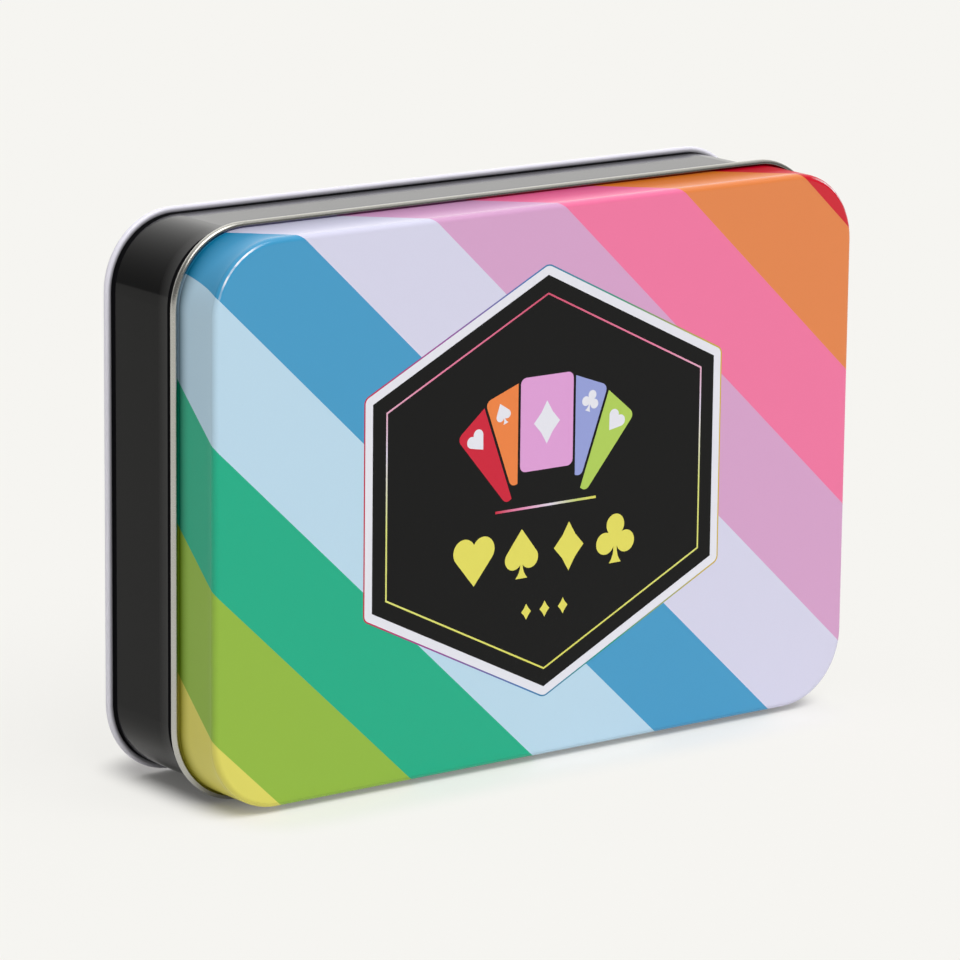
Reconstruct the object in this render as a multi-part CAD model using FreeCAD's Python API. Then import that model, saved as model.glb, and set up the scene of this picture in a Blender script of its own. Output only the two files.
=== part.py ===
import FreeCAD, Part

import math
import os

from FreeCAD import Placement, Rotation, Vector

# A tin for two decks of playing cards: a slip lid, a base with a seamed bottom, a formed tray and the cards.
# It is modelled lying on its back, with the long side along X, the short side along Y and the depth along Z,
# and stood on its long side at the end, with the lid's face looking along -Y. All lengths are in millimetres.

# Cards of poker size
card_width = 63.5
card_length = 88.9
card_corner_radius = 3.2
card_thickness = 0.29
card_gap = 0.01
suits = ("spades", "hearts", "clubs", "diamonds")
pip_cards = 10
court_cards = 3
jokers = 2

# Tray, formed from one plastic sheet
tray_sheet = 0.5
well_clearance = 0.5
well_depth = 9.0
divider_width = 2.8
tray_margin = 4.2
tray_bend_radius = 1.0
bend_clearance = 0.1
foot_height = 12.8
tray_clearance = 0.4

# Base, a tinplate band with a rolled rim and a bottom panel seamed to it
base_sheet = 0.25
rim_curl_diameter = 1.05
headroom = 2.6
bottom_recess = 1.5
seam_bend_radius = 0.3
seam_flange_run = 0.4
seam_gap = 0.2
panel_clearance = 0.05
fold_clearance = 0.06
side_lap_width = 4.0
side_lap_clearance = 0.5

# Lid, one drawn tinplate shell with an outward curl
lid_sheet = 0.25
lid_curl_diameter = 1.4
lid_reach = 12.5
lid_edge_radius = 1.0
slip_clearance = 0.3
lid_seat_gap = 0.3
corner_radius = 13.6

# How far cutting shapes run past what they cut, and how near an edge counts as level
overrun = 1.0
level_tolerance = 0.005

# Where an arc is given its start, middle and end
arc_shares = (0, 1 / 2, 1)

# Radii from the shared corner centres, from the lid inwards
base_radius = corner_radius - lid_sheet - slip_clearance
base_inner_radius = base_radius - base_sheet
rim_inner_radius = base_radius - rim_curl_diameter
tray_radius = rim_inner_radius - tray_clearance

# Outline of the tray, and from it the corner centres that every shell shares
well_width = card_width + 2 * well_clearance
well_length = card_length + 2 * well_clearance
well_radius = card_corner_radius + well_clearance
well_bend_radius = well_clearance - bend_clearance
tray_width = 2 * well_width + divider_width + 2 * tray_margin
tray_length = well_length + 2 * tray_margin
centre_half_width = tray_width / 2 - tray_radius
centre_half_length = tray_length / 2 - tray_radius

# Heights from the back of the seam to the face of the lid
card_pitch = card_thickness + card_gap
deck_count = len(suits) * (pip_cards + court_cards) + jokers
floor_height = bottom_recess + base_sheet
well_floor = floor_height + foot_height + tray_sheet
tray_top = well_floor + well_depth
rim_height = well_floor + deck_count * card_pitch + headroom
depth = rim_height + lid_seat_gap + lid_sheet

# Directions while it lies on its back
ORIGIN = Vector(0, 0, 0)
RIGHT = Vector(1, 0, 0)
FAR = Vector(0, 1, 0)
UP = Vector(0, 0, 1)

# It then stands on the curl along one long side, midway over its footprint
stand_height = centre_half_length + corner_radius + lid_curl_diameter - lid_sheet
stand = Placement(Vector(0, depth / 2, stand_height), Rotation(RIGHT, 90))

# Corners of the outline in the order of travel, as signs along X and Y
corners = [(1, 1), (-1, 1), (-1, -1), (1, -1)]


def turned(angle, rise=UP):
    """Unit vector at an angle in degrees from X, in the plane of a section or in that of an outline."""
    return RIGHT * math.cos(math.radians(angle)) + rise * math.sin(math.radians(angle))


def arc(centre, radius, start, turn, rise=UP):
    """Arc about a centre, from a start angle through a turn in degrees."""
    points = [centre + turned(start + turn * share, rise) * radius for share in arc_shares]
    return Part.Arc(*points).toShape()


def sheet_section(out, up, heading, steps, sheet):
    """Face of even thickness that follows a middle line of straight runs and bends.

    A step is (length,) for a run, or (radius, turn) for a bend, with turns to the left positive.
    """
    half = sheet / 2
    point = Vector(out, 0, up)
    left_edges = []
    right_edges = []
    for step in steps:
        side = turned(heading + 90)
        if len(step) == 1:
            end = point + turned(heading) * step[0]
            left_edges.append(Part.makeLine(point + side * half, end + side * half))
            right_edges.append(Part.makeLine(point - side * half, end - side * half))
        else:
            radius, turn = step
            way = math.copysign(1, turn)
            centre = point + side * (radius * way)
            spoke = heading - 90 * way
            left_edges.append(arc(centre, radius - half * way, spoke, turn))
            right_edges.append(arc(centre, radius + half * way, spoke, turn))
            heading += turn
            end = centre + turned(spoke + turn) * radius
        if not left_edges[1:]:
            start_cap = Part.makeLine(point - side * half, point + side * half)
        point = end
    side = turned(heading + 90)
    end_cap = Part.makeLine(point + side * half, point - side * half)
    edges = [start_cap] + left_edges + [end_cap] + right_edges
    return Part.Face(Part.Wire(Part.sortEdges(edges)[0]))


def carried_round(section):
    """Solids that carry a section round the four corners and along the four sides of the tin."""
    centres = [Vector(right * centre_half_width, far * centre_half_length, 0) for right, far in corners]
    carried = []
    for quarter, centre in enumerate(centres):
        start = section.copy()
        start.rotate(ORIGIN, UP, 90 * quarter)
        corner = start.revolve(ORIGIN, UP, 90)
        corner.translate(centre)
        side = section.copy()
        side.rotate(ORIGIN, UP, 90 * (quarter + 1))
        side.translate(centre)
        next_centre = centres[(quarter + 1) % len(centres)]
        carried += [corner, side.extrude(next_centre - centre)]
    return carried


def one_solid(parts):
    """Single clean solid from parts that meet face to face."""
    return parts[0].multiFuse(parts[1:]).removeSplitter().Solids[0]


def middle_plate(bottom, sheet):
    """Flat plate between the corner centres, at the height of a panel."""
    corner = Vector(-centre_half_width, -centre_half_length, bottom)
    return Part.makeBox(2 * centre_half_width, 2 * centre_half_length, sheet, corner)


def rounded_slab(width, length, radius, bottom, top):
    """Upright slab with a rounded rectangle as its outline."""
    x, y = width / 2 - radius, length / 2 - radius
    centres = [Vector(right * x, far * y, bottom) for right, far in corners]
    edges = []
    for quarter, centre in enumerate(centres):
        next_centre = centres[(quarter + 1) % len(centres)]
        spoke = turned(90 * (quarter + 1), FAR) * radius
        edges.append(arc(centre, radius, 90 * quarter, 90, FAR))
        edges.append(Part.makeLine(centre + spoke, next_centre + spoke))
    return Part.Face(Part.Wire(edges)).extrude(UP * (top - bottom))


def edges_at(shape, height):
    """Edges of a shape that lie flat at a height."""
    flat = []
    for edge in shape.Edges:
        box = edge.BoundBox
        if max(abs(box.ZMin - height), abs(box.ZMax - height)) < level_tolerance:
            flat.append(edge)
    return flat


def deck_centre(hand):
    """Middle of a well along X, with -1 for the left hand and 1 for the right."""
    return hand * (divider_width + well_width) / 2


def lid():
    """Drawn shell: face, edge radius, side wall and the curl rolled outward at the open edge."""
    curl = (lid_curl_diameter - lid_sheet) / 2
    steps = [
        (corner_radius - lid_edge_radius,),
        (lid_edge_radius - lid_sheet / 2, -90),
        (lid_reach - lid_edge_radius - lid_curl_diameter / 2,),
        (curl, 270),
    ]
    section = sheet_section(0, depth - lid_sheet / 2, 0, steps, lid_sheet)
    return one_solid(carried_round(section) + [middle_plate(depth - lid_sheet, lid_sheet)])


def seam_sizes():
    """Where the flange of the band ends and how far the fold of the bottom panel rises round it."""
    fold_radius = (base_sheet + 2 * seam_gap + base_sheet) / 2
    flange_end = base_radius - base_sheet / 2 + seam_bend_radius + seam_flange_run
    return fold_radius, flange_end


def base_wall():
    """Band with a flange turned out at the back, a rim curled inward and the lap that closes it."""
    fold_radius, flange_end = seam_sizes()
    flange_height = base_sheet / 2 + fold_radius
    curl = (rim_curl_diameter - base_sheet) / 2
    wall_start = flange_height + seam_bend_radius
    steps = [
        (seam_flange_run,),
        (seam_bend_radius, -90),
        (rim_height - rim_curl_diameter / 2 - wall_start,),
        (curl, 270),
    ]
    band = one_solid(carried_round(sheet_section(flange_end, flange_height, 180, steps, base_sheet)))
    lap_start = floor_height + side_lap_clearance
    lap_end = rim_height - rim_curl_diameter - side_lap_clearance
    lap_corner = Vector(-side_lap_width / 2, -centre_half_length - base_inner_radius, lap_start)
    lap = Part.makeBox(side_lap_width, base_sheet, lap_end - lap_start, lap_corner)
    return one_solid([band, lap])


def base_bottom():
    """Sunk panel whose edge runs down inside the band and folds round its flange."""
    fold_radius, flange_end = seam_sizes()
    inside = base_inner_radius - panel_clearance - base_sheet / 2
    steps = [
        (inside - seam_bend_radius,),
        (seam_bend_radius, -90),
        (bottom_recess - 2 * seam_bend_radius,),
        (seam_bend_radius, 90),
        (flange_end - inside - seam_bend_radius,),
        (fold_radius, 180),
        (flange_end - base_radius - fold_clearance,),
    ]
    section = sheet_section(0, bottom_recess + base_sheet / 2, 0, steps, base_sheet)
    return one_solid(carried_round(section) + [middle_plate(bottom_recess, base_sheet)])


def tray_form(inset):
    """Block with two wells, drawn in by an inset on every face but the open underside."""
    top = tray_top - inset
    floor = well_floor - inset
    width, length = tray_width - 2 * inset, tray_length - 2 * inset
    form = rounded_slab(width, length, tray_radius - inset, floor_height, top)
    for hand in (-1, 1):
        width, length = well_width + 2 * inset, well_length + 2 * inset
        well = rounded_slab(width, length, well_radius + inset, floor, top + overrun)
        well.translate(RIGHT * deck_centre(hand))
        form = form.cut(well)
    form = form.makeFillet(tray_bend_radius - inset, edges_at(form, top))
    return form.makeFillet(well_bend_radius + inset, edges_at(form, floor))


def card_tray():
    """Formed sheet: a skirt that stands on the bottom panel, a top with rolled edges and two wells."""
    return tray_form(0).cut(tray_form(tray_sheet)).Solids[0]


def cards(hand, first, count):
    """Group of loose cards in one well, counted from the floor of the well."""
    group = []
    for place in range(first, first + count):
        bottom = well_floor + card_gap + place * card_pitch
        card = rounded_slab(card_width, card_length, card_corner_radius, bottom, bottom + card_thickness)
        card.translate(RIGHT * deck_centre(hand))
        group.append(card)
    return Part.makeCompound(group)


def deck(side, hand):
    """All the cards of one deck, face down, as a group for each kind of card in each suit."""
    groups = {}
    first = 0
    for suit in suits:
        groups[f"{side}_deck_{suit}_pips"] = cards(hand, first, pip_cards)
        first += pip_cards
        groups[f"{side}_deck_{suit}_courts"] = cards(hand, first, court_cards)
        first += court_cards
    groups[f"{side}_deck_jokers"] = cards(hand, first, jokers)
    return groups


pieces = {
    "lid": lid(),
    "base_wall": base_wall(),
    "base_bottom": base_bottom(),
    "card_tray": card_tray(),
}
pieces.update(deck("left", -1))
pieces.update(deck("right", 1))

os.makedirs("parts", exist_ok=True)
for name, shape in pieces.items():
    shape.Placement = stand.multiply(shape.Placement)
    shape.exportStep(f"parts/{name}.step")
    box = shape.BoundBox
    print(name, len(shape.Solids), "solids", f"{shape.Volume:.1f} mm3", shape.isValid(),
          f"{box.XMin:.2f} {box.XMax:.2f} {box.YMin:.2f} {box.YMax:.2f} {box.ZMin:.2f} {box.ZMax:.2f}")
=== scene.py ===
# %% [markdown]
# # A tin for two decks of playing cards
# The tin stands on a long side with its lid towards us. The solids of the lid, the base, the tray and the
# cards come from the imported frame, and their shapes stay as they are. This lesson sets the camera, gives
# each solid its finish, adds the label on the lid as thin layers of ink, and lights the tin at the end.

# %% Load the frame
import math

import bmesh
import bpy
from mathutils import Matrix, Quaternion, Vector


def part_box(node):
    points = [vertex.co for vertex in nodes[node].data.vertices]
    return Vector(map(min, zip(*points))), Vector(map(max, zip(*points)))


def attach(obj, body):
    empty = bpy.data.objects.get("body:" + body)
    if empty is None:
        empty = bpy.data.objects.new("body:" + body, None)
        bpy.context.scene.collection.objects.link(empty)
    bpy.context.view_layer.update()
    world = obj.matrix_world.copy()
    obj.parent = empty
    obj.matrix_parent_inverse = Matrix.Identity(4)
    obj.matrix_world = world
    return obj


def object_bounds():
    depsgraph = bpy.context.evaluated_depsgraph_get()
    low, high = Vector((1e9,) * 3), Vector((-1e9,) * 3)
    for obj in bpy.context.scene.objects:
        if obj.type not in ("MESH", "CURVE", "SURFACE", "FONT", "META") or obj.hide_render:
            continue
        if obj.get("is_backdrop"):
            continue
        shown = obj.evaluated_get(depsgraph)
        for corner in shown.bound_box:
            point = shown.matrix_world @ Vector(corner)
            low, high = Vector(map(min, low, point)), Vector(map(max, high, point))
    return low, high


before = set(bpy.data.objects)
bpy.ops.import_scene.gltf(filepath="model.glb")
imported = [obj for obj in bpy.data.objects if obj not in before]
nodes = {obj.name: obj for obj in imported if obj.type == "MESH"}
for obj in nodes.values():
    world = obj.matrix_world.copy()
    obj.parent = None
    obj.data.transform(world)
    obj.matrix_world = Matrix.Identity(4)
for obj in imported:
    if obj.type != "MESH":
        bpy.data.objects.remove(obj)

cad_low, cad_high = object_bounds()
millimetre = 0.001
print("tin of", len(nodes), "nodes,", [round(side / millimetre, 1) for side in cad_high - cad_low], "mm")

# %% [markdown]
# ## Camera
# The tin is seen from its left and a little above, through a long lens, so its parallel edges hardly draw
# together. A camera could be turned by hand until it looks right, but here its place, its aim, its slight
# roll and its lens were worked out from the tin's known edges, and they are written down as they came.

# %% Camera
camera_place = Vector((-0.58215, -0.76881, 0.27186))
camera_aim = Vector((-0.00164, 0.0, 0.04989))
camera_roll = math.radians(0.624)
camera_lens = 201.95
camera_sensor = 36


def new_object(name, data):
    """Puts a camera, a lamp or a mesh into the scene."""
    made = bpy.data.objects.new(name, data)
    bpy.context.scene.collection.objects.link(made)
    return made


camera_data = bpy.data.cameras.new("camera")
camera_data.lens = camera_lens
camera_data.sensor_width = camera_sensor
camera = new_object("camera", camera_data)
bpy.context.scene.camera = camera
camera.location = camera_place
look = (camera_aim - camera_place).to_track_quat("-Z", "Y")
camera.rotation_euler = (look @ Quaternion((0, 0, 1), camera_roll)).to_euler()
print("camera stands", round((camera_aim - camera_place).length, 3), "m away")

# %% [markdown]
# ## Writing finishes as sums
# A finish is a small machine of nodes, and drawing it node by node hides what it works out. So one class
# wraps a socket and lets Python's own signs add the nodes: `1 - mask` or `x * x + z * z` reads as it
# would on paper. One method adds every other kind of node.

# %% A signal in a finish
class Signal:
    """A number, vector or colour on its way through the nodes of a finish."""

    def __init__(self, tree, socket):
        self.tree = tree
        self.socket = socket

    def node(self, kind, settings=None, inputs=None, output=0):
        """Any node of the finish: its settings are set first, then the values or links of its sockets."""
        made = self.tree.nodes.new(kind)
        for name, value in (settings or {}).items():
            if name == "stops":
                set_stops(made.color_ramp, value)
            elif name == "steps":
                made.color_ramp.interpolation = value
            else:
                setattr(made, name, value)
        for name, value in (inputs or {}).items():
            if isinstance(value, Signal):
                self.tree.links.new(value.socket, made.inputs[name])
            else:
                made.inputs[name].default_value = value
        return Signal(self.tree, made.outputs[output])

    def maths(self, operation, first, second=0.0):
        return self.node("ShaderNodeMath", {"operation": operation}, {0: first, 1: second})

    def __add__(self, other):
        return self.maths("ADD", self, other)

    def __sub__(self, other):
        return self.maths("SUBTRACT", self, other)

    def __rsub__(self, other):
        return self.maths("SUBTRACT", other, self)

    def __mul__(self, other):
        return self.maths("MULTIPLY", self, other)

    def __truediv__(self, other):
        return self.maths("DIVIDE", self, other)

    def __gt__(self, other):
        return self.maths("GREATER_THAN", self, other)

    def __lt__(self, other):
        return self.maths("LESS_THAN", self, other)

    def __abs__(self):
        return self.maths("ABSOLUTE", self)

    __radd__ = __add__
    __rmul__ = __mul__

    def at_least(self, other):
        return self.maths("MAXIMUM", self, other)

    def at_most(self, other):
        return self.maths("MINIMUM", self, other)

    def hypotenuse(self, other):
        """Distance that two signals at right angles make together."""
        return self.maths("SQRT", self * self + other * other)

    def rising(self, low, high):
        """0 up to a low value, 1 from a high one on, and an even slope between."""
        return ((self - low) / (high - low)).at_least(0).at_most(1)

    def between(self, low, high):
        """Number between two others, with this signal as the share of the second."""
        return low + self * (high - low)

    def mixed(self, low, high):
        """Colour between two others, with this signal as the share of the second."""
        # A Mix node has its two colours at sockets 6 and 7, and gives a colour at output 2
        return self.node("ShaderNodeMix", {"data_type": "RGBA"}, {0: self, 6: low, 7: high}, 2)


def set_stops(ramp, stops):
    """Gives a colour ramp its stops, as places and colours."""
    while len(ramp.elements) < len(stops):
        ramp.elements.new(1)
    for element, (place, shade) in zip(ramp.elements, stops):
        element.position = place
        element.color = shade


def colour(red, green, blue):
    """Colour as light, from the 0 to 255 steps that a picture is written in."""
    steps = [step / 255 for step in (red, green, blue)]
    return tuple(s / 12.92 if s <= 0.04045 else ((s + 0.055) / 1.055) ** 2.4 for s in steps) + (1.0,)


print("a middle grey is", [round(part, 3) for part in colour(128, 128, 128)])

# %% [markdown]
# ## A place on a piece
# Every finish here is worked out from where a point lies on the tin, in millimetres, measured from the
# middle of the lid's face. The pieces sit at the origin with their place in their mesh, so Object
# coordinates give that place directly, and a print or a bare edge stays put when the piece moves.

# %% Start a finish
lid_low, lid_high = (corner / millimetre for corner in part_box("lid"))
middle_height = (lid_low.z + lid_high.z) / 2


def new_finish(name):
    """A material, its shader, and the place on the piece: right, behind the lid's face, and up."""
    material = bpy.data.materials.new(name)
    material.use_nodes = True
    tree = material.node_tree
    shader = tree.nodes["Principled BSDF"]
    point = Signal(tree, tree.nodes.new("ShaderNodeTexCoord").outputs["Object"])
    x, y, z = (point.node("ShaderNodeSeparateXYZ", None, {0: point}, axis) / millimetre for axis in range(3))
    return material, shader, (x, y - lid_low.y, z - middle_height)


def set_shader(shader, **values):
    """Sets or links the shader's sockets, named with underscores for spaces."""
    for name, value in values.items():
        socket = shader.inputs[name.replace("_", " ")]
        if isinstance(value, Signal):
            value.tree.links.new(value.socket, socket)
        else:
            socket.default_value = value


def mix_shader(shader, share, other):
    """Mixes a finish's shader with another one, by the share of the other."""
    own = Signal(share.tree, shader.outputs["BSDF"])
    both = own.node("ShaderNodeMixShader", None, {0: share, 1: own, 2: other})
    share.tree.links.new(both.socket, share.tree.nodes["Material Output"].inputs["Surface"])


print("the lid's face lies at", round(lid_low.y, 2), "mm and its middle", round(middle_height, 2), "mm up")

# %% [markdown]
# ## Grain and dents
# No sheet, lacquer or card is quite even. A picture of the surface could bring that in, but noise that
# fills space has no seams, and its size is given in millimetres, whatever the piece. One function gives
# the noise, and another one turns it into shallow dents that the light shows.

# %% Grain and dents
dent_depth = 0.02


def grain(place, size, detail=2.0):
    """Soft noise from 0 to 1, with patches of a size in millimetres."""
    x, depth, z = place
    point = x.node("ShaderNodeCombineXYZ", None, {0: x / size, 1: depth / size, 2: z / size})
    return x.node("ShaderNodeTexNoise", None, {"Vector": point, "Scale": 1.0, "Detail": detail})


def dents(place, size, strength, depth=dent_depth):
    """Shading normal of dents with a size and a depth in millimetres."""
    height = grain(place, size)
    inputs = {"Strength": strength, "Distance": depth * millimetre, "Height": height}
    return height.node("ShaderNodeBump", None, inputs)


print("dents are", dent_depth, "mm deep")

# %% [markdown]
# ## Round the corners
# The lid and the base are the same rounded rectangle at different distances from four shared corner
# centres. Pinning a point to the rectangle between those centres gives the nearest point of that core,
# and what is left over is how far, and which way, the point lies from it. The stripes, the bare metal and
# the dirt all use this.

# %% Core of the outline
corner_radius = 13.6
tin_sheet = 0.25
curl_diameter = 1.4
curl_stand = curl_diameter - tin_sheet
core_right = lid_high.x - curl_stand - corner_radius
core_up = (lid_high.z - lid_low.z) / 2 - curl_stand - corner_radius


def from_core(place):
    """Nearest point of the core, the way out from it, and the distance."""
    x, _, z = place
    core_x = x.at_most(core_right).at_least(-core_right)
    core_z = z.at_most(core_up).at_least(-core_up)
    out_x, out_z = x - core_x, z - core_z
    return core_x, core_z, out_x, out_z, out_x.hypotenuse(out_z)


print("corner centres lie", round(core_right, 2), "mm out and", round(core_up, 2), "mm up from the middle")

# %% [markdown]
# ## Bare tinplate
# The rolled edges and the insides are unprinted steel with a skin of tin. It is a soft grey metal, not a
# mirror: rolling leaves a fine grain that spreads its reflections. A second material could be set on the
# bare faces, but the edge of a print doesn't follow the faces. So one function gives tinplate's colour
# and roughness, and one lays paint over it wherever a mask says so.

# %% Tinplate
tin_light = colour(198, 197, 191)
tin_dark = colour(174, 173, 167)
tin_grain = 0.12
tin_cloud = 6.0
tin_grain_share = 0.6
tin_roughness = (0.22, 0.3)


def tinplate(place):
    """Colour and roughness of bare tinplate."""
    fine = grain(place, tin_grain)
    broad = grain(place, tin_cloud)
    tone = fine * tin_grain_share + broad * (1 - tin_grain_share)
    return tone.mixed(tin_dark, tin_light), fine.between(*tin_roughness)


def coat(shader, mask, metal, paint, **more):
    """Paint where the mask is 1 and metal elsewhere, each given as a colour and a roughness."""
    set_shader(shader, Base_Color=mask.mixed(metal[0], paint[0]), Metallic=1 - mask,
               Roughness=mask.between(metal[1], paint[1]), **more)


print("tinplate runs from", [round(part, 2) for part in tin_dark[:3]])

# %% [markdown]
# ## Stripes
# The sheet is printed flat with slanted stripes and drawn into a lid afterwards, so a stripe that reaches
# the edge of the face runs on down the wall. An image could carry the print, but here the lid is unfolded
# in the finish: a point on the wall is laid out flat beyond the face, as far out as the sheet is long,
# and the stripes are read there. They are steps of one colour ramp, so they have no blur at their edges.

# %% Stripes
stripe_blue = colour(64, 153, 199)
stripe_lilac = colour(213, 212, 234)
stripe_pink = colour(240, 117, 161)
stripe_colours = [
    colour(221, 212, 97),
    colour(145, 183, 58),
    colour(4, 172, 133),
    colour(186, 216, 235),
    stripe_blue,
    stripe_lilac,
    colour(213, 161, 202),
    stripe_pink,
    colour(227, 132, 72),
    colour(206, 21, 43),
]
stripe_width = 19.33
stripe_start = 0.22
stripe_slant = math.radians(43.32)
edge_radius = 1.0
# Share of the depth that a quarter round saves against a square corner
round_saving_share = 2 - math.pi / 2


def unfolded(place):
    """Place in the flat print of a point on the outside of the lid."""
    depth = place[1]
    core_x, core_z, out_x, out_z, reach = from_core(place)
    run = depth - depth.at_most(edge_radius) * round_saving_share
    stretch = 1 + run / reach
    return core_x + out_x * stretch, core_z + out_z * stretch


def stripes(place):
    """Colour of the slanted stripes."""
    flat_x, flat_z = unfolded(place)
    across = flat_x * math.sin(stripe_slant) + flat_z * math.cos(stripe_slant)
    count = len(stripe_colours)
    turn = ((across - stripe_start) / stripe_width + count / 2) / count
    stops = [(number / count, shade) for number, shade in enumerate(stripe_colours)]
    return turn.node("ShaderNodeValToRGB", {"steps": "CONSTANT", "stops": stops}, {0: turn})


print("stripes of", stripe_width, "mm in", len(stripe_colours), "colours")

# %% [markdown]
# ## Printed side
# Only one side of the sheet is printed. It is the outside of the face and the walls, and the curl rolls
# it in, so the curl is bare metal outside and printed in its hollow. A mask could be painted on by hand,
# but the section of the sheet is known: the printed side lies outside the middle of the sheet on the face
# and the walls, and inside it in the roll.

# %% Printed side of the lid
lid_reach = lid_high.y - lid_low.y
curl_front = lid_reach - curl_diameter
curl_centre_depth = lid_reach - curl_diameter / 2
curl_centre_reach = corner_radius + curl_stand - curl_diameter / 2


def printed_side(place):
    """1 on the printed side of the sheet, which the curl rolls in, and 0 on its bare side."""
    depth = place[1]
    reach = from_core(place)[-1]
    across = (reach - (corner_radius - edge_radius)).at_least(0)
    along = (edge_radius - depth).at_least(0)
    outside = across.hypotenuse(along) > edge_radius - tin_sheet / 2
    on_wall = (depth < curl_centre_depth) * (reach < corner_radius + tin_sheet / 2)
    from_centre = (reach - curl_centre_reach).hypotenuse(depth - curl_centre_depth)
    return outside * on_wall.at_least(from_centre < curl_stand / 2)


print("the curl starts", round(curl_front, 2), "mm behind the lid's face")

# %% [markdown]
# ## Painted shade and highlight on the lid
# Beside the curl the print is darkened as painted shade, most of all round the tin's two ends, and less in
# the hollow of the curl. On the edge of the face at its two upper corners a thin pale line is painted as a
# highlight. A picture could carry both, but they follow the lid's own form, so they are worked out from the
# depth of a point and from its way out of the core.

# %% Painted shade and highlight on the lid
shade_end_reach = 3.6
shade_end_share = 0.82
shade_long_side_reach = 9.0
shade_long_side_share = 0.4
roll_unshaded_share = 0.6
highlight_start = 0.12
highlight_end = 0.32
highlight_corner_shares = (0.25, 0.5)
highlight_patch = 2.2
highlight_patch_shares = (0.267, 0.6)


def end_share(place):
    """1 on the tin's two ends, 0 on its long sides, and between them round the corners."""
    out_x, _, reach = from_core(place)[2:]
    return out_x * out_x / (reach * reach)


def painted_shade_on_lid(place):
    """Share of painted shade on the print beside the curl."""
    depth = place[1]
    at_end = end_share(place)
    shade_reach = at_end.between(shade_long_side_reach, shade_end_reach)
    near_curl = depth.rising(curl_front - shade_reach, curl_front)
    share = at_end.between(shade_long_side_share, near_curl * shade_end_share)
    return near_curl * share * (1 - (depth > curl_front) * roll_unshaded_share)


def painted_highlight_on_lid(place):
    """Share of a painted highlight on the edge of the face, in patches round its two upper corners."""
    _, depth, z = place
    out_x, out_z, reach = from_core(place)[2:]
    at_corner = (abs(out_x).at_most(abs(out_z)) / reach).rising(*highlight_corner_shares)
    on_edge = (depth > highlight_start) * (depth < highlight_end)
    return on_edge * at_corner * (z > 0) * grain(place, highlight_patch).rising(*highlight_patch_shares)


# The darkening reported here is painted shade.
print("dirt reaches", shade_end_reach, "mm on the ends and", shade_long_side_reach, "mm on the long sides")

# %% [markdown]
# ## Lid finish
# The print is a satin ink on the face and rougher on the walls, where drawing has stretched it. Along the
# long sides hands have left the walls matt, and the bare curl is painted a darker tin as shade. A rougher
# gloss would still catch the light from above, so a second shader without gloss is mixed in there.

# %% Lid finish
lid_gloss = 0.35
lid_roughness = (0.1, 0.16)
lid_cloud = 9.0
lid_dent = 1.6
lid_dent_strength = 0.05
print_grain = 0.35
print_value = (0.985, 1.015)
shade_saturation_share = 0.2
painted_highlight_colour = colour(236, 240, 246)
wall_start = 2.5
wall_roughness = 0.3
tin_painted_shade = colour(156, 155, 149)
matt_start = 6.0
matt_share = 0.8


def lid_print():
    """Satin print over tinplate."""
    material, shader, place = new_finish("lid_print")
    depth = place[1]
    # The print beside the curl is darkened and deepened in colour as painted shade.
    print_shade = painted_shade_on_lid(place)
    long_side = 1 - end_share(place)
    changes = {"Color": stripes(place), "Saturation": 1 + print_shade * shade_saturation_share,
               "Value": (1 - print_shade) * grain(place, print_grain).between(*print_value)}
    print_without_highlight = depth.node("ShaderNodeHueSaturation", None, changes)
    # A thin pale line on the edge at the upper corners is a painted highlight.
    tint = painted_highlight_on_lid(place).mixed(print_without_highlight, painted_highlight_colour)
    face_roughness = grain(place, lid_cloud).between(*lid_roughness)
    roughness = face_roughness + depth.rising(0, wall_start) * wall_roughness
    unshaded_metal, metal_roughness = tinplate(place)
    # Along the long sides the bare curl is painted a darker tin as shade.
    metal = ((depth > curl_front) * long_side).mixed(unshaded_metal, tin_painted_shade)
    printed = printed_side(place)
    coat(shader, printed, (metal, metal_roughness), (tint, roughness), Specular_IOR_Level=lid_gloss,
         Normal=dents(place, lid_dent, lid_dent_strength))
    matt = {"Base Color": tint, "Roughness": 1.0, "Specular IOR Level": 0.0}
    share = printed * depth.rising(0, matt_start) * long_side * matt_share
    mix_shader(shader, share, depth.node("ShaderNodeBsdfPrincipled", None, matt))
    return material


def dress(name, material):
    """Gives a solid of the frame its finish."""
    materials = nodes[name].data.materials
    materials.clear()
    materials.append(material)


dress("lid", lid_print())
print("lid of", round(lid_high.x - lid_low.x, 1), "by", round(lid_high.z - lid_low.z, 1), "mm printed")

# %% [markdown]
# ## Black base
# The base is a band of tinplate lacquered a glossy black outside and left bare inside. Lacquer lies
# almost level, so what shows is gloss with a faint waviness, and a few patches where hands and other tins
# have rubbed it. A little behind the curl a pale line is painted as the curl's reflection, and beside the
# curl and at the seam's foot a dull black is painted as shade. One shader could be made rougher there, but
# this painted shade has no gloss, so two shaders are mixed.

# %% Black lacquer
base_low, base_high = (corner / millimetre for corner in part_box("base_wall"))
bottom_low, bottom_high = (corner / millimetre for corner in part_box("base_bottom"))
tin_depth = bottom_high.y - lid_low.y
slip_clearance = 0.3
base_radius = corner_radius - tin_sheet - slip_clearance
black = colour(9, 9, 9)
black_worn = colour(14, 14, 14)
black_roughness = (0.06, 0.14)
lacquer_gloss = 0.1
lacquer_dent = 3.0
lacquer_dent_strength = 0.04
rub_patch = 7.0
rub_detail = 4.0
painted_reflection_colour = colour(58, 58, 58)
reflection_start = 3.0
reflection_end = 6.0
painted_shade_colour = colour(20, 20, 22)
curl_shade_start = 2.2
seam_stand = 1.15
seam_shade_line = 1.3


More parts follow.
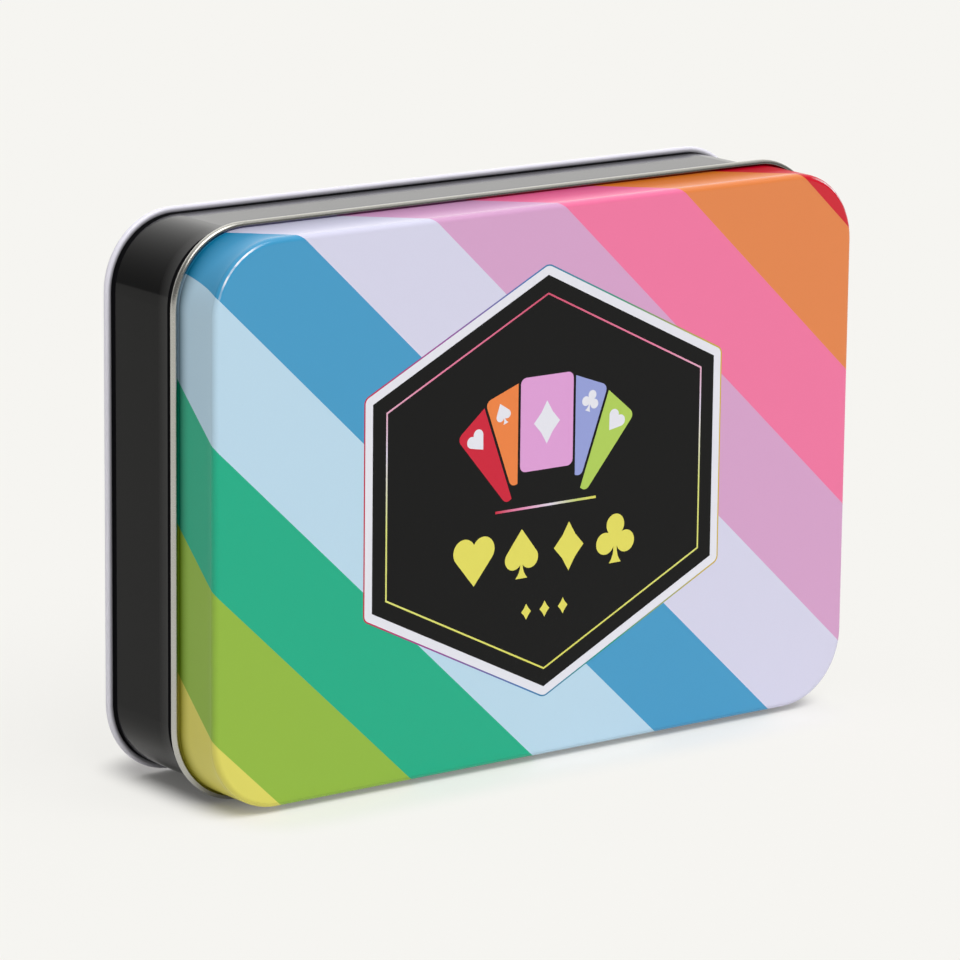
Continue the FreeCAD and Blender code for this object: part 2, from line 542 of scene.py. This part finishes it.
def black_lacquer():
    """Gloss black outside, tinplate inside and on the rolled rim."""
    material, shader, place = new_finish("black_lacquer")
    depth = place[1]
    lacquered = from_core(place)[-1] > base_radius - tin_sheet / 2
    rubbed = grain(place, rub_patch, rub_detail)
    behind_curl = depth - lid_reach
    # A pale line a little behind the curl is a painted reflection of the curl.
    line = (1 - behind_curl.rising(reflection_start, reflection_end)) * (behind_curl > reflection_start)
    paint = line.mixed(rubbed.mixed(black, black_worn), painted_reflection_colour)
    coat(shader, lacquered, tinplate(place), (paint, rubbed.between(*black_roughness)),
         Specular_IOR_Level=lacquer_gloss, Normal=dents(place, lacquer_dent, lacquer_dent_strength))
    # A dull black beside the curl and at the seam's foot is painted shade.
    beside_curl = (behind_curl > curl_shade_start) * (behind_curl < reflection_start)
    at_seam = depth > tin_depth - seam_stand - seam_shade_line
    painted_shade_and_darkening = depth.node("ShaderNodeBsdfDiffuse", None, {"Color": painted_shade_colour})
    mix_shader(shader, lacquered * beside_curl.at_least(at_seam), painted_shade_and_darkening)
    return material


dress("base_wall", black_lacquer())
print("band of the base is", round(base_high.y - base_low.y, 2), "mm deep")

# %% [markdown]
# ## Pale bottom
# The bottom is a panel lacquered a pale lilac outside and folded round the band's flange. Its seam rubs
# on shelves and tables, so the crown of the seam is worn to the metal in patches. The front of the seam's
# foot is painted dark as shade, and the panel is darker towards its corner, in cloudy patches. All of it
# follows the seam, so it is worked out from the distance to the band and the depth.

# %% Lilac lacquer
lilac = colour(232, 230, 242)
lilac_pale = colour(239, 237, 248)
lilac_roughness = (0.2, 0.28)
lilac_cloud = 8.0
lilac_detail = 3.0
foot_shade_share = 0.6
panel_darkening_reach = 5.0
panel_darkening_share = 0.45
crown_depth = 0.2
crown_patch = 9.0
crown_patch_shares = (0.425, 0.675)
crown_wear_share = 0.7


def lilac_lacquer():
    """Pale lacquer on the outside of the bottom and its seam, tinplate inside."""
    material, shader, place = new_finish("lilac_lacquer")
    depth = place[1]
    cloudy = grain(place, lilac_cloud, lilac_detail)
    past_wall = from_core(place)[-1] - base_radius
    # The front of the seam's foot is painted dark as shade, and the panel darkens towards its corner.
    at_foot = (past_wall > 0) * (1 - past_wall.rising(0, seam_stand * foot_shade_share))
    in_corner = (past_wall < 0) * past_wall.rising(-panel_darkening_reach, 0)
    on_front = depth < tin_depth - seam_stand / 2
    painted_shade_and_darkening = on_front * (at_foot + in_corner * in_corner * cloudy * panel_darkening_share)
    paint = painted_shade_and_darkening.mixed(cloudy.mixed(lilac, lilac_pale), painted_shade_colour)
    on_crown = depth.rising(tin_depth - crown_depth, tin_depth)
    patches = grain(place, crown_patch, lilac_detail).rising(*crown_patch_shares)
    outside = depth > bottom_low.y - lid_low.y + tin_sheet / 2
    lacquered = outside * (1 - on_crown * patches * crown_wear_share)
    coat(shader, lacquered, tinplate(place), (paint, cloudy.between(*lilac_roughness)),
         Normal=dents(place, lacquer_dent, lacquer_dent_strength))
    return material


dress("base_bottom", lilac_lacquer())
print("bottom is", round(bottom_high.y - bottom_low.y, 2), "mm deep with its seam")

# %% [markdown]
# ## Tray
# The tray is a thin sheet of black plastic drawn into a mould while hot. The mould leaves a fine, even
# grain, and the sheet is a little shinier where it was stretched most. The grain is far too fine to
# model, so small dents and a changing roughness give both.

# %% Tray finish
tray_low, tray_high = (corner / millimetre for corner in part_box("card_tray"))
tray_black = colour(30, 30, 32)
tray_grey = colour(40, 40, 43)
tray_grain = 0.25
tray_dent_strength = 0.25
tray_dent_depth = 0.03
tray_cloud = 12.0
tray_roughness = (0.36, 0.5)


def tray_plastic():
    """Satin black sheet with a fine grain."""
    material, shader, place = new_finish("tray_plastic")
    set_shader(shader, Base_Color=grain(place, tray_grain).mixed(tray_black, tray_grey),
               Roughness=grain(place, tray_cloud).between(*tray_roughness),
               Normal=dents(place, tray_grain, tray_dent_strength, tray_dent_depth))
    return material


dress("card_tray", tray_plastic())
print("tray is", round(tray_high.y - tray_low.y, 1), "mm deep")

# %% [markdown]
# ## Prints on the cards
# The backs have a plain lattice, and the last card is an ace of spades with a single pip. Layers of ink
# would lie between the cards, where there is no room, so both are formulas in the finish. A lattice is
# two waves across each other, and a spade is the heart curve on its head, with a foot.

# %% Lattice and pip
lattice_pitch = 4.6
lattice_line_share = 0.09
lattice_dot_share = 0.2
leaf_up_share = 0.12
foot_top_share = -0.45
foot_height_share = 0.8
foot_half_width_share = 0.08
foot_flare_share = 0.45


def wave(value):
    """Distance from the middle of a repeating unit, from 0 to a half."""
    return abs(value - value.maths("FLOOR", value) - 0.5)


def lattice(across, up):
    """1 on the lines and the dots of a slanted lattice."""
    one_way, other_way = wave((across + up) / lattice_pitch), wave((across - up) / lattice_pitch)
    line = (0.5 - one_way.at_least(other_way)) < lattice_line_share
    return line.at_least(one_way.hypotenuse(other_way) < lattice_dot_share)


def spade(across, up):
    """1 inside a spade of unit size about the origin."""
    flipped = leaf_up_share - up
    ring = across * across + flipped * flipped - 1
    leaf = ring * ring * ring - across * across * flipped * flipped * flipped < 0
    below = foot_top_share - up
    narrow = abs(across) < foot_half_width_share + below.at_least(0) * foot_flare_share
    return leaf.at_least(narrow * (below > 0) * (below < foot_height_share))


print("lattice repeats every", lattice_pitch, "mm")

# %% [markdown]
# ## Cards
# The cards lie face down. What shows is their white edges, streaked where single cards stand a little out
# or have gone darker, the back of the front card of each deck and, when a deck is lifted out and seen
# from behind, the face of its last card. Three materials could be set on the faces of each card, but one
# finish serves all: the surface's own direction tells edge, back and face apart. The backs are cool on
# the left deck and warm on the right.

# %% Card finish
card_white = colour(243, 242, 238)
card_shade = colour(214, 211, 204)
card_roughness = (0.42, 0.52)
card_grain = 0.3
card_dent = 0.4
card_dent_strength = 0.06
card_border = 3.2
streak_height = 0.45
streak_length = 14.0
streak_shares = (0.333, 0.667)
flat_shade_share = 0.25
facing_limit = 0.5
pip_size = 9.0
pip_black = colour(24, 24, 26)


def card_stock(name, low, high, field):
    """Card with white edges, a lattice over a field of colour on its back and one pip on its face."""
    material, shader, place = new_finish(name)
    x, depth, z = place
    across = x - (low.x + high.x) / 2
    inside = ((high.x - low.x) / 2 - abs(across)).at_most((high.z - low.z) / 2 - abs(z)) > card_border
    normal = Signal(x.tree, x.tree.nodes.new("ShaderNodeTexCoord").outputs["Normal"])
    facing = normal.node("ShaderNodeSeparateXYZ", None, {0: normal}, 1)
    back, face = facing < -facing_limit, facing > facing_limit
    drawn_out = streak_height / streak_length
    streaks = grain((x * drawn_out, depth, z * drawn_out), streak_height).rising(*streak_shares)
    shaded = streaks * back.at_least(face).between(1, flat_shade_share)
    paper = shaded.mixed(card_white, card_shade)
    printed = (back * inside).mixed(paper, lattice(across, z).mixed(field, stripe_lilac))
    pip = face * spade(across / pip_size, z / pip_size)
    set_shader(shader, Base_Color=pip.mixed(printed, pip_black),
               Roughness=grain(place, card_grain).between(*card_roughness),
               Normal=dents(place, card_dent, card_dent_strength))
    return material


card_finishes = {}
for side, field in (("left", stripe_blue), ("right", stripe_pink)):
    card_low, card_high = (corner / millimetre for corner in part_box(f"{side}_deck_jokers"))
    card_finishes[side] = card_stock(f"card_stock_{side}", card_low, card_high, field)
for name in nodes:
    side = name.split("_deck_")[0]
    if side in card_finishes:
        dress(name, card_finishes[side])
print("cards of", round(card_high.x - card_low.x, 1), "by", round(card_high.z - card_low.z, 1), "mm")

# %% [markdown]
# ## Layers of ink
# The label could be drawn in the lid's finish too, but its thin lines would blur when the finish is baked
# into a picture. So each printed shape is a real layer, about a hundredth of a millimetre thick, cut by
# mesh operators in the plane of the face and set on the lid. Shapes are drawn in millimetres about the
# label's middle.

# %% Helpers for layers
ink_thickness = 0.012
# Layers lie one on another: the ground, the panel on it, the shapes on that, and pips on the shapes
ground_level, panel_level, shape_level, pip_level = range(4)
label_middle = Vector((0.37, 0, 0.19))
lid_face = label_middle + Vector((0, lid_low.y, middle_height))


def stand_up(bm):
    """Turns what was drawn in the ground plane up into the plane of the lid's face."""
    bmesh.ops.rotate(bm, verts=bm.verts[:], matrix=Matrix.Rotation(math.radians(90), 3, "X"))


def moved(bm, right, up, degrees=0):
    """Turns a flat shape clockwise about the origin and moves it on the face."""
    bmesh.ops.rotate(bm, verts=bm.verts[:], matrix=Matrix.Rotation(math.radians(degrees), 3, "Y"))
    bmesh.ops.translate(bm, verts=bm.verts[:], vec=(right, 0, up))
    return bm


def print_layer(name, bm, finishes, level):
    """Gives flat faces the thickness of ink, sets them on the lid at a level and lets them ride on it."""
    grown = bmesh.ops.extrude_face_region(bm, geom=bm.faces[:])
    front = [part for part in grown["geom"] if isinstance(part, bmesh.types.BMVert)]
    bmesh.ops.translate(bm, verts=front, vec=(0, -ink_thickness, 0))
    bmesh.ops.recalc_face_normals(bm, faces=bm.faces[:])
    bmesh.ops.translate(bm, verts=bm.verts[:], vec=lid_face - Vector((0, level * ink_thickness, 0)))
    bmesh.ops.scale(bm, verts=bm.verts[:], vec=(millimetre,) * 3)
    mesh = bpy.data.meshes.new(name)
    bm.to_mesh(mesh)
    bm.free()
    piece = new_object(name, mesh)
    for finish in finishes:
        mesh.materials.append(finish)
    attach(piece, "lid")


print("ink is", ink_thickness, "mm thick")

# %% [markdown]
# ## Inks
# The label's inks are satin, like the stripes, with a faint unevenness. Most are of one colour, and the
# fine lines change from one side of the label to the other, as one roller can carry two inks side by
# side. A vertex colour could hold that change, but a ramp along the face gives more than two colours on a
# few faces.

# %% Inks
ink_gloss = 0.15
ink_roughness = (0.16, 0.22)
ink_cloud = 8.0
ink_grain = 0.3
ink_value = (0.98, 1.02)
right_axis, up_axis = 0, 2


def set_ink(shader, place, shade):
    """Satin gloss of an ink, in a colour."""
    set_shader(shader, Base_Color=shade, Roughness=grain(place, ink_cloud).between(*ink_roughness),
               Specular_IOR_Level=ink_gloss)


def ink(name, tint):
    """Ink of one colour."""
    material, shader, place = new_finish(name)
    value = grain(place, ink_grain).between(*ink_value)
    set_ink(shader, place, value.node("ShaderNodeHueSaturation", None, {"Value": value, "Color": tint}))
    return material


def graded_ink(name, stops, axis, reach):
    """Ink whose colour changes along the face, from one side of the label to the other."""
    material, shader, place = new_finish(name)
    along = place[axis] - label_middle[axis]
    share = along / (2 * reach) + 0.5
    set_ink(shader, place, share.node("ShaderNodeValToRGB", {"stops": stops}, {0: share}))
    return material


white_ink = ink("white_ink", colour(229, 229, 238))
black_ink = ink("black_ink", colour(13, 13, 13))
print("inks have a roughness of", ink_roughness)

# %% [markdown]
# ## Hexagon
# The label is a hexagon, point up and wider than a regular one: a black panel on a white ground with a
# fine line of changing colour round it, and a second fine line inside the panel. Six typed corners would
# do, but a circle of six segments is the hexagon, a vertex bevel rounds the ground's corners, and insets
# give the lines their even width.

# %% Hexagon shape
hexagon_sides = 6
hexagon_half_height = 40.38
hexagon_half_width = 40.68


def inset(bm, width):
    """Insets the faces by an even width and returns the rim that this makes."""
    made = bmesh.ops.inset_region(bm, faces=bm.faces[:], thickness=width, use_boundary=True,
                                  use_even_offset=True)
    return made["faces"]


def round_corners(bm, offset, segments):
    """Rounds every corner of a flat shape."""
    bmesh.ops.bevel(bm, geom=bm.verts[:], offset=offset, offset_type="OFFSET", segments=segments,
                    profile=0.5, affect="VERTICES", material=-1)


def hexagon(margin):
    """Flat hexagon whose sides lie an even margin inside the label's edge."""
    bm = bmesh.new()
    bmesh.ops.create_circle(bm, cap_ends=True, segments=hexagon_sides, radius=hexagon_half_height)
    widen = hexagon_half_width / (hexagon_half_height * math.cos(math.pi / hexagon_sides))
    bmesh.ops.scale(bm, verts=bm.verts[:], vec=(widen, 1, 1))
    if margin:
        bmesh.ops.delete(bm, geom=inset(bm, margin), context="FACES")
    stand_up(bm)
    return bm


print("hexagon is", round(2 * hexagon_half_width, 1), "by", round(2 * hexagon_half_height, 1), "mm")

# %% [markdown]
# ## Ground, panel and outline
# The three layers of the label lie one on another, as they are printed. The line round the ground is the
# rim of an inset with a second ink, so it has no layer of its own, and the line inside the panel is a rim
# whose middle is deleted.

# %% Hexagon layers
border_width = 1.9
border_corner = 0.9
border_corner_segments = 5
keyline_width = 0.28
keyline_stops = [
    (0.0, colour(190, 40, 70)),
    (0.2, colour(150, 70, 150)),
    (0.45, colour(60, 120, 180)),
    (0.7, colour(50, 150, 120)),
    (1.0, colour(205, 175, 60)),
]
outline_inset = 2.9
outline_width = 0.32
outline_stops = [
    (0.0, colour(225, 220, 95)),
    (0.45, colour(220, 225, 130)),
    (0.62, colour(222, 214, 232)),
    (0.78, colour(232, 130, 165)),
    (1.0, colour(200, 45, 75)),
]
keyline_ink = graded_ink("keyline_ink", keyline_stops, right_axis, hexagon_half_width)
outline_ink = graded_ink("outline_ink", outline_stops, up_axis, hexagon_half_height)

ground = hexagon(0)
round_corners(ground, border_corner, border_corner_segments)
for face in inset(ground, keyline_width):
    face.material_index = 1
print_layer("label_ground", ground, [white_ink, keyline_ink], ground_level)
print_layer("label_panel", hexagon(border_width), [black_ink], panel_level)
outline = hexagon(border_width + outline_inset)
middle = outline.faces[:]
inset(outline, outline_width)
bmesh.ops.delete(outline, geom=middle, context="FACES_ONLY")
print_layer("label_outline", outline, [outline_ink], shape_level)
print("label has a border of", border_width, "mm")

# %% [markdown]
# ## Suits
# Hearts, spades, diamonds and clubs are common to every pack. Each could be a list of many points, but
# here it is half an outline, from the top down to the bottom on its right side: a vertex is extruded to
# make a straight run and spun to make an arc, then the half is mirrored and filled. A step holds a point,
# in shares of the suit's height, and how far its arc turns.

# %% Suit outlines
heart_shares = [(0, 0.34, 0), (0.443, 0.038, 190), (0, -0.5, 0)]
spade_shares = [(0, 0.5, 0), (0.366, 0.029, 0), (0.028, -0.22, 183), (0.15, -0.5, -45), (0, -0.5, 0)]
diamond_shares = [(0, 0.5, 0), (0.37, 0, -22), (0, -0.5, -22)]
club_shares = [(0, 0.5, 0), (0.163, 0.121, 133), (0.044, -0.162, 274), (0.15, -0.5, -45), (0, -0.5, 0)]
degrees_per_edge = 12
fewest_edges = 2
merge_share = 0.001


def go_on(bm, vert, end, turn):
    """Carries an outline from a vertex to an end point, straight or on an arc that turns clockwise."""
    if not turn:
        new = bmesh.ops.extrude_vert_indiv(bm, verts=[vert])["verts"][0]
        bmesh.ops.translate(bm, verts=[new], vec=end - vert.co)
        return new
    angle = math.radians(turn)
    chord = end - vert.co
    right_of_way = Vector((chord.z, 0, -chord.x))
    centre = vert.co + chord / 2 + right_of_way / (2 * math.tan(angle / 2))
    steps = max(fewest_edges, round(abs(turn) / degrees_per_edge))
    spun = bmesh.ops.spin(bm, geom=[vert], cent=centre, axis=(0, 1, 0), angle=angle, steps=steps)
    return next(part for part in spun["geom_last"] if isinstance(part, bmesh.types.BMVert))


def suit(shares, height):
    """Flat suit of a height about the origin."""
    bm = bmesh.new()
    points = [(Vector((across, 0, up)) * height, turn) for across, up, turn in shares]
    vert = bm.verts.new(points[0][0])
    for end, turn in points[1:]:
        vert = go_on(bm, vert, end, turn)
    merge = height * merge_share
    bmesh.ops.mirror(bm, geom=bm.verts[:] + bm.edges[:], axis="X", merge_dist=merge)
    bmesh.ops.remove_doubles(bm, verts=bm.verts[:], dist=merge)
    bmesh.ops.contextual_create(bm, geom=bm.edges[:])
    return bm


print("a full turn has", 360 // degrees_per_edge, "edges")

# %% [markdown]
# ## Row of suits
# The four suits stand in a row on the lower half of the panel, over three small diamonds. They are
# printed in one yellow, so each needs only its outline, its height and its place, and loops set them out
# from the middle.

# %% Row of suits
yellow_ink = ink("yellow_ink", colour(226, 219, 98))
row_height = 9.2
row_up = -12.6
row_pitch = 10.8
row = {"heart": heart_shares, "spade": spade_shares, "diamond": diamond_shares, "club": club_shares}
for number, (name, shares) in enumerate(row.items()):
    right = (number - (len(row) - 1) / 2) * row_pitch
    shape = moved(suit(shares, row_height), right, row_up)
    print_layer(f"row_{name}", shape, [yellow_ink], shape_level)
small_count = 3
small_height = 3.0
small_up = -23.6
small_pitch = 4.2
for number in range(small_count):
    right = (number - (small_count - 1) / 2) * small_pitch
    shape = moved(suit(diamond_shares, small_height), right, small_up)
    print_layer(f"small_diamond_{number + 1}", shape, [yellow_ink], shape_level)
print("row of", len(row), "suits over", small_count, "small diamonds")

# %% [markdown]
# ## Fan of cards
# Above the row a hand of five cards is fanned out, in colours close to those of the stripes. Drawn one
# over another they would need a stack of layers, so each card is cut by a plane along the edge of the card
# in front of it, and all of them lie in one layer with an even black gap between.

# %% Fan of cards
fan_card_width = 12.0
fan_card_height = 17.4
fan_card_corner = 1.2
fan_corner_segments = 4
fan_pivot_up = -4.4
fan_arm = 15.6
fan_step = 20
fan_gap = 0.55
fan_colours = [
    colour(205, 38, 60),
    colour(236, 132, 70),
    colour(222, 160, 214),
    colour(150, 160, 216),
    colour(176, 206, 92),
]
fan_suits = [heart_shares, spade_shares, diamond_shares, club_shares, heart_shares]
fan_pip_height = 4.0
fan_middle_pip_height = 8.0
pip_right_share = 0.26
pip_up_share = 0.29


def rectangle(width, height):
    """Flat rectangle about the origin, in the ground plane."""
    bm = bmesh.new()
    bmesh.ops.create_grid(bm, x_segments=1, y_segments=1, size=0.5)
    bmesh.ops.scale(bm, verts=bm.verts[:], vec=(width, height, 1))
    return bm


def fan_card(degrees, front_degrees, side):
    """One card of the fan, cut along the edge of the card in front of it, which lies on a side, -1 or 1."""
    bm = rectangle(fan_card_width, fan_card_height)
    round_corners(bm, fan_card_corner, fan_corner_segments)
    stand_up(bm)
    moved(bm, 0, fan_arm)
    moved(bm, 0, fan_pivot_up, degrees)
    if side:
        towards_front = Matrix.Rotation(math.radians(front_degrees), 3, "Y") @ Vector((side, 0, 0))
        edge = Vector((0, 0, fan_pivot_up)) - towards_front * (fan_card_width / 2 + fan_gap)
        everything = bm.verts[:] + bm.edges[:] + bm.faces[:]
        bmesh.ops.bisect_plane(bm, geom=everything, plane_co=edge, plane_no=towards_front, clear_outer=True)
    return bm


middle_card = (len(fan_colours) - 1) // 2
for number, tint in enumerate(fan_colours):
    turn = (number - middle_card) * fan_step
    side = (number < middle_card) - (number > middle_card)
    card = fan_card(turn, turn + side * fan_step, side)
    print_layer(f"fan_card_{number + 1}", card, [ink(f"fan_ink_{number + 1}", tint)], shape_level)
    pip = suit(fan_suits[number], fan_pip_height if side else fan_middle_pip_height)
    pip_up = fan_arm + abs(side) * pip_up_share * fan_card_height
    moved(pip, -side * pip_right_share * fan_card_width, pip_up)
    moved(pip, 0, fan_pivot_up, turn)
    print_layer(f"fan_pip_{number + 1}", pip, [white_ink], pip_level)
print("fan of", len(fan_colours), "cards")

# %% [markdown]
# ## Rule
# A thin rule parts the fan from the row of suits. It changes colour along its length, as the fine lines
# of the hexagon do, so it is one narrow rectangle in a graded ink.

# %% Rule
rule_length = 23.0
rule_width = 0.45
rule_up = -4.2
rule_stops = [
    (0.0, colour(205, 40, 62)),
    (0.3, colour(228, 150, 190)),
    (0.55, colour(224, 216, 232)),
    (0.8, colour(196, 206, 120)),
    (1.0, colour(222, 216, 96)),
]
rule = rectangle(rule_length, rule_width)
stand_up(rule)
rule_ink = graded_ink("rule_ink", rule_stops, right_axis, rule_length / 2)
print_layer("label_rule", moved(rule, 0, rule_up), [rule_ink], shape_level)
print("rule of", rule_length, "by", rule_width, "mm")

# %% [markdown]
# ## Floor
# The tin stands on pale paper without an edge. Paper alone would be lit unevenly, and a floor that glows
# evenly would lose the tin's shadow, so the two are mixed: beside the tin the floor is mostly paper,
# which keeps the shadow, and further off it is mostly an even white. Only what is seen straight, in a
# mirror or through glass is that white. The light that the floor throws back on the tin is the paper's.

# %% Floor
floor_reach = 6.0
floor_white = colour(247, 246, 242)
floor_paper = colour(235, 234, 231)
floor_roughness = 0.9
floor_near = 5.0
floor_far = 15.0
floor_far_share = 0.86
floor_front_share = 0.32
floor_back_share = 0.09


def seen_straight(tree):
    """1 for what is seen directly, in a mirror or through glass, and 0 for what only lights other things."""
    path = tree.nodes.new("ShaderNodeLightPath").outputs
    direct, mirrored, through = (Signal(tree, path[f"Is {way} Ray"])
                                 for way in ("Camera", "Glossy", "Transmission"))
    return direct.at_least(mirrored).at_least(through)


floor_mesh = bpy.data.meshes.new("floor")
floor_shape = rectangle(2 * floor_reach, 2 * floor_reach)
floor_shape.to_mesh(floor_mesh)
floor_shape.free()
floor = new_object("floor", floor_mesh)
floor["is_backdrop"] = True
floor_finish, floor_shader, (across, depth, _) = new_finish("floor_paper")
set_shader(floor_shader, Base_Color=floor_paper, Roughness=floor_roughness, Specular_IOR_Level=0.0)
beside = (abs(across) - core_right).at_least(0)
before = (abs(depth - tin_depth / 2) - tin_depth / 2).at_least(0)
far = beside.hypotenuse(before).rising(floor_near, floor_far)
# Smooth step, which starts and ends level
far_smooth = far * far * (3 - 2 * far)
near_share = depth.rising(0, lid_reach).between(floor_front_share, floor_back_share)
white_share = far_smooth.between(near_share, floor_far_share) * seen_straight(floor_finish.node_tree)
mix_shader(floor_shader, white_share, far.node("ShaderNodeEmission", None, {"Color": floor_white}))
floor_mesh.materials.append(floor_finish)
print("floor of", 2 * floor_reach, "m")

# %% [markdown]
# ## Light
# Soft light comes from the front and from above. Near lamps would leave a bright pool on the floor, so
# three wide suns stand for softboxes, and the sky fills the rest. Behind the tin the sky is brighter, as
# a studio's backdrop is, but only for what is seen straight, in a mirror or through glass. So the lacquer
# shows the backdrop, and the backdrop doesn't light the tin.

# %% Light
sky_white = colour(255, 254, 252)
sky_strength = 0.22
backdrop_strength = 1.65
backdrop_way = Vector((0.35, 0.75, 0.55)).normalized()
backdrop_spread = 3
# Each softbox: where it stands, its light on a surface that faces it, and how wide it looks
softboxes = {
    "left_softbox": (Vector((-0.31, -0.6, 0.67)), 0.5, 24),
    "right_softbox": (Vector((0.09, -0.49, 0.82)), 1.65, 40),
    "top_softbox": (Vector((0.15, -0.2, 0.97)), 0.85, 90),
}

world = bpy.data.worlds.new("studio")
bpy.context.scene.world = world
world.use_nodes = True
background = world.node_tree.nodes["Background"]
way = Signal(world.node_tree, world.node_tree.nodes.new("ShaderNodeTexCoord").outputs["Generated"])
toward = way.node("ShaderNodeVectorMath", {"operation": "DOT_PRODUCT"}, {0: way, 1: backdrop_way}, 1)
glow = toward.maths("POWER", toward.at_least(0), backdrop_spread)
strength = sky_strength + glow * backdrop_strength * seen_straight(world.node_tree)
set_shader(background, Color=sky_white, Strength=strength)

for name, (stand, light, spread) in softboxes.items():
    softbox_data = bpy.data.lights.new(name, "SUN")
    softbox_data.energy = light
    softbox_data.angle = math.radians(spread)
    softbox = new_object(name, softbox_data)
    softbox.rotation_euler = stand.to_track_quat("Z", "Y").to_euler()
bpy.context.scene.view_settings.view_transform = "Standard"
print("light from", len(softboxes), "softboxes and the sky")

# %% [markdown]
# ## Sizes
# The dressed tin must stay as large as its solids. Both boxes are written down, so that they can be
# compared.

# %% Write the sizes and finish
dressed_low, dressed_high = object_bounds()
growth = (dressed_high - dressed_low) - (cad_high - cad_low)
print("grown by", [round(side / millimetre, 3) for side in growth], "mm")
